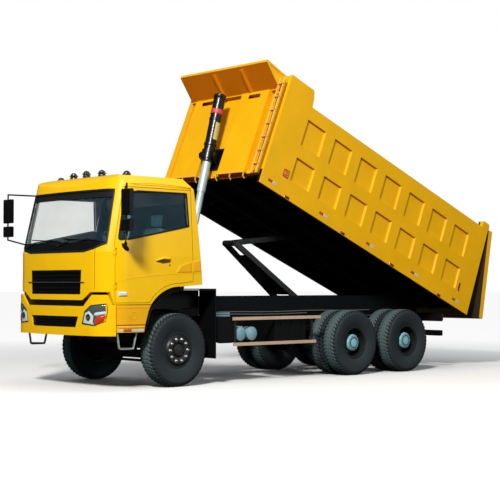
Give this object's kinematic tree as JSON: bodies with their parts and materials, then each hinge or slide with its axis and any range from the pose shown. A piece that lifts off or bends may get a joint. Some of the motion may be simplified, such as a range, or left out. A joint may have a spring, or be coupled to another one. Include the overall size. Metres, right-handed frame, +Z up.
{
  "type": "three-axle tipper truck",
  "caption": "Three-axle tipper truck with a tilting cab, opening doors, steered front wheels and a tall load bed raised by a front telescopic hoist.",
  "frame": {"origin": "on the ground under the middle of the vehicle's outline", "axes": "+X forward along the frame rails, +Y to the vehicle's left, +Z up"},
  "size_m": [9.1062, 3.34, 5.1568],
  "materials": {
    "chassis_grey": "satin",
    "cast_metal": "matte",
    "tank_blue_grey": "satin",
    "guard_tan": "satin",
    "black_plastic": "matte",
    "tyre_rubber": "matte",
    "rim_black": "satin",
    "yellow_paint": "gloss",
    "clear_glass": "gloss",
    "lamp_lens": "gloss",
    "amber_lens": "gloss",
    "red_lens": "gloss",
    "seat_fabric": "matte",
    "hoist_black": "gloss",
    "rod_steel": "polished"
  },
  "bodies": {
    "chassis": {"frame_rails": "chassis_grey", "tow_eyes": "chassis_grey", "crossmembers": "chassis_grey", "subframe": "chassis_grey", "hoist_bracket": "chassis_grey", "engine_block": "cast_metal", "driveline": "cast_metal", "front_axle": "chassis_grey", "rear_axles": "chassis_grey", "leaf_springs": "cast_metal", "fuel_tank": "tank_blue_grey", "air_tanks": "tank_blue_grey", "battery_box": "chassis_grey", "side_guards": "guard_tan", "front_fenders": "black_plastic", "rear_underrun": "chassis_grey", "tail_lamps": "red_lens"},
    "steer_left": {"knuckle_left": "chassis_grey"},
    "steer_right": {"knuckle_right": "chassis_grey"},
    "tie_rod": {"tie_rod": "chassis_grey"},
    "wheel_front_left": {"tyre_front_left": "tyre_rubber", "rim_front_left": "rim_black"},
    "wheel_front_right": {"tyre_front_right": "tyre_rubber", "rim_front_right": "rim_black"},
    "wheel_mid_left": {"tyres_mid_left": "tyre_rubber", "rims_mid_left": "rim_black"},
    "wheel_mid_right": {"tyres_mid_right": "tyre_rubber", "rims_mid_right": "rim_black"},
    "wheel_rear_left": {"tyres_rear_left": "tyre_rubber", "rims_rear_left": "rim_black"},
    "wheel_rear_right": {"tyres_rear_right": "tyre_rubber", "rims_rear_right": "rim_black"},
    "cab": {"cab_shell": "yellow_paint", "windscreen": "clear_glass", "grille": "black_plastic", "bumper": "black_plastic", "headlamps": "lamp_lens", "cab_steps": "chassis_grey", "marker_lamps": "amber_lens", "seats": "seat_fabric", "dashboard": "black_plastic"},
    "door_left": {"door_left": "yellow_paint", "door_glass_left": "clear_glass", "mirror_left": "black_plastic"},
    "door_right": {"door_right": "yellow_paint", "door_glass_right": "clear_glass", "mirror_right": "black_plastic"},
    "bed": {"bed_floor": "yellow_paint", "bed_sides": "yellow_paint", "headboard": "yellow_paint", "ladder": "yellow_paint", "hoist_mount": "yellow_paint"},
    "tailgate": {"tailgate": "yellow_paint"},
    "hoist_barrel": {"hoist_barrel": "hoist_black"},
    "hoist_stage_1": {"hoist_stage_1": "rod_steel"},
    "hoist_stage_2": {"hoist_stage_2": "rod_steel"},
    "hoist_stage_3": {"hoist_stage_3": "rod_steel"},
    "hoist_stage_4": {"hoist_stage_4": "rod_steel"},
    "stabiliser_lower": {"stabiliser_lower": "chassis_grey"},
    "stabiliser_upper": {"stabiliser_upper": "chassis_grey"}
  },
  "joints": [
    {"name": "cab_tilt", "type": "hinge", "parent": "chassis", "child": "cab", "pos_m": [4.278, 0, 0.95], "axis": [0, 1, 0], "range_deg": [0, 50]},
    {"name": "door_left_hinge", "type": "hinge", "parent": "cab", "child": "door_left", "pos_m": [4.268, 1.173, 1.7], "axis": [0, 0, -1], "range_deg": [0, 65]},
    {"name": "door_right_hinge", "type": "hinge", "parent": "cab", "child": "door_right", "pos_m": [4.268, -1.173, 1.7], "axis": [0, 0, 1], "range_deg": [0, 65]},
    {"name": "steer_left_hinge", "type": "hinge", "parent": "chassis", "child": "steer_left", "pos_m": [3.078, 0.9, 0.5], "axis": [0, 0, 1], "range_deg": [-35, 35]},
    {"name": "steer_right_hinge", "type": "hinge", "parent": "chassis", "child": "steer_right", "pos_m": [3.078, -0.9, 0.5], "axis": [0, 0, 1], "range_deg": [-35, 35]},
    {"name": "tie_rod_end", "type": "hinge", "parent": "steer_left", "child": "tie_rod", "pos_m": [2.778, 0.83, 0.36], "axis": [0, 0, 1], "range_deg": [-37.8, 37.8]},
    {"name": "wheel_front_left_spin", "type": "hinge", "parent": "steer_left", "child": "wheel_front_left", "pos_m": [3.078, 1.02, 0.55], "axis": [0, 1, 0], "continuous": true},
    {"name": "wheel_front_right_spin", "type": "hinge", "parent": "steer_right", "child": "wheel_front_right", "pos_m": [3.078, -1.02, 0.55], "axis": [0, 1, 0], "continuous": true},
    {"name": "wheel_mid_left_spin", "type": "hinge", "parent": "chassis", "child": "wheel_mid_left", "pos_m": [-0.722, 0.93, 0.55], "axis": [0, 1, 0], "continuous": true},
    {"name": "wheel_mid_right_spin", "type": "hinge", "parent": "chassis", "child": "wheel_mid_right", "pos_m": [-0.722, -0.93, 0.55], "axis": [0, 1, 0], "continuous": true},
    {"name": "wheel_rear_left_spin", "type": "hinge", "parent": "chassis", "child": "wheel_rear_left", "pos_m": [-2.072, 0.93, 0.55], "axis": [0, 1, 0], "continuous": true},
    {"name": "wheel_rear_right_spin", "type": "hinge", "parent": "chassis", "child": "wheel_rear_right", "pos_m": [-2.072, -0.93, 0.55], "axis": [0, 1, 0], "continuous": true},
    {"name": "bed_tip", "type": "hinge", "parent": "chassis", "child": "bed", "pos_m": [-3.002, 0, 1.15], "axis": [0, -1, 0], "range_deg": [-22.5, 22.5]},
    {"name": "tailgate_swing", "type": "hinge", "parent": "bed", "child": "tailgate", "pos_m": [-4.3011, 0, 2.6793], "axis": [0, 1, 0], "range_deg": [-11.7, 50]},
    {"name": "hoist_pivot", "type": "hinge", "parent": "bed", "child": "hoist_barrel", "pos_m": [1.5218, 0, 3.6732], "axis": [0, -1, 0], "range_deg": [-10.71, 10.71]},
    {"name": "hoist_stage_1_slide", "type": "slide", "parent": "hoist_barrel", "child": "hoist_stage_1", "axis": [0.2475, 0, -0.9689], "range_m": [-0.4905, 0.4905]},
    {"name": "hoist_stage_2_slide", "type": "slide", "parent": "hoist_stage_1", "child": "hoist_stage_2", "axis": [0.2475, 0, -0.9689], "range_m": [-0.4905, 0.4905]},
    {"name": "hoist_stage_3_slide", "type": "slide", "parent": "hoist_stage_2", "child": "hoist_stage_3", "axis": [0.2475, 0, -0.9689], "range_m": [-0.4905, 0.4905]},
    {"name": "hoist_stage_4_slide", "type": "slide", "parent": "hoist_stage_3", "child": "hoist_stage_4", "axis": [0.2475, 0, -0.9689], "range_m": [-0.4905, 0.4905]},
    {"name": "stabiliser_lower_hinge", "type": "hinge", "parent": "chassis", "child": "stabiliser_lower", "pos_m": [-0.352, 0, 1.24], "axis": [0, -1, 0], "range_deg": [-30.11, 30.11]},
    {"name": "stabiliser_upper_hinge", "type": "hinge", "parent": "bed", "child": "stabiliser_upper", "pos_m": [-0.657, 0, 2.4136], "axis": [0, -1, 0], "range_deg": [-29.54, 29.54]}
  ],
  "couplings": [
    {"joint": "steer_right_hinge", "follows": "steer_left_hinge", "ratio": 1},
    {"joint": "tie_rod_end", "follows": "steer_left_hinge", "ratio": -1.08},
    {"joint": "hoist_pivot", "follows": "bed_tip", "ratio": -0.4739},
    {"joint": "hoist_stage_1_slide", "follows": "bed_tip", "m_per_rad": 1.2477},
    {"joint": "hoist_stage_2_slide", "follows": "bed_tip", "m_per_rad": 1.2477},
    {"joint": "hoist_stage_3_slide", "follows": "bed_tip", "m_per_rad": 1.2477},
    {"joint": "hoist_stage_4_slide", "follows": "bed_tip", "m_per_rad": 1.2477},
    {"joint": "stabiliser_lower_hinge", "follows": "bed_tip", "ratio": 1.3358},
    {"joint": "stabiliser_upper_hinge", "follows": "bed_tip", "ratio": -1.3105}
  ]
}
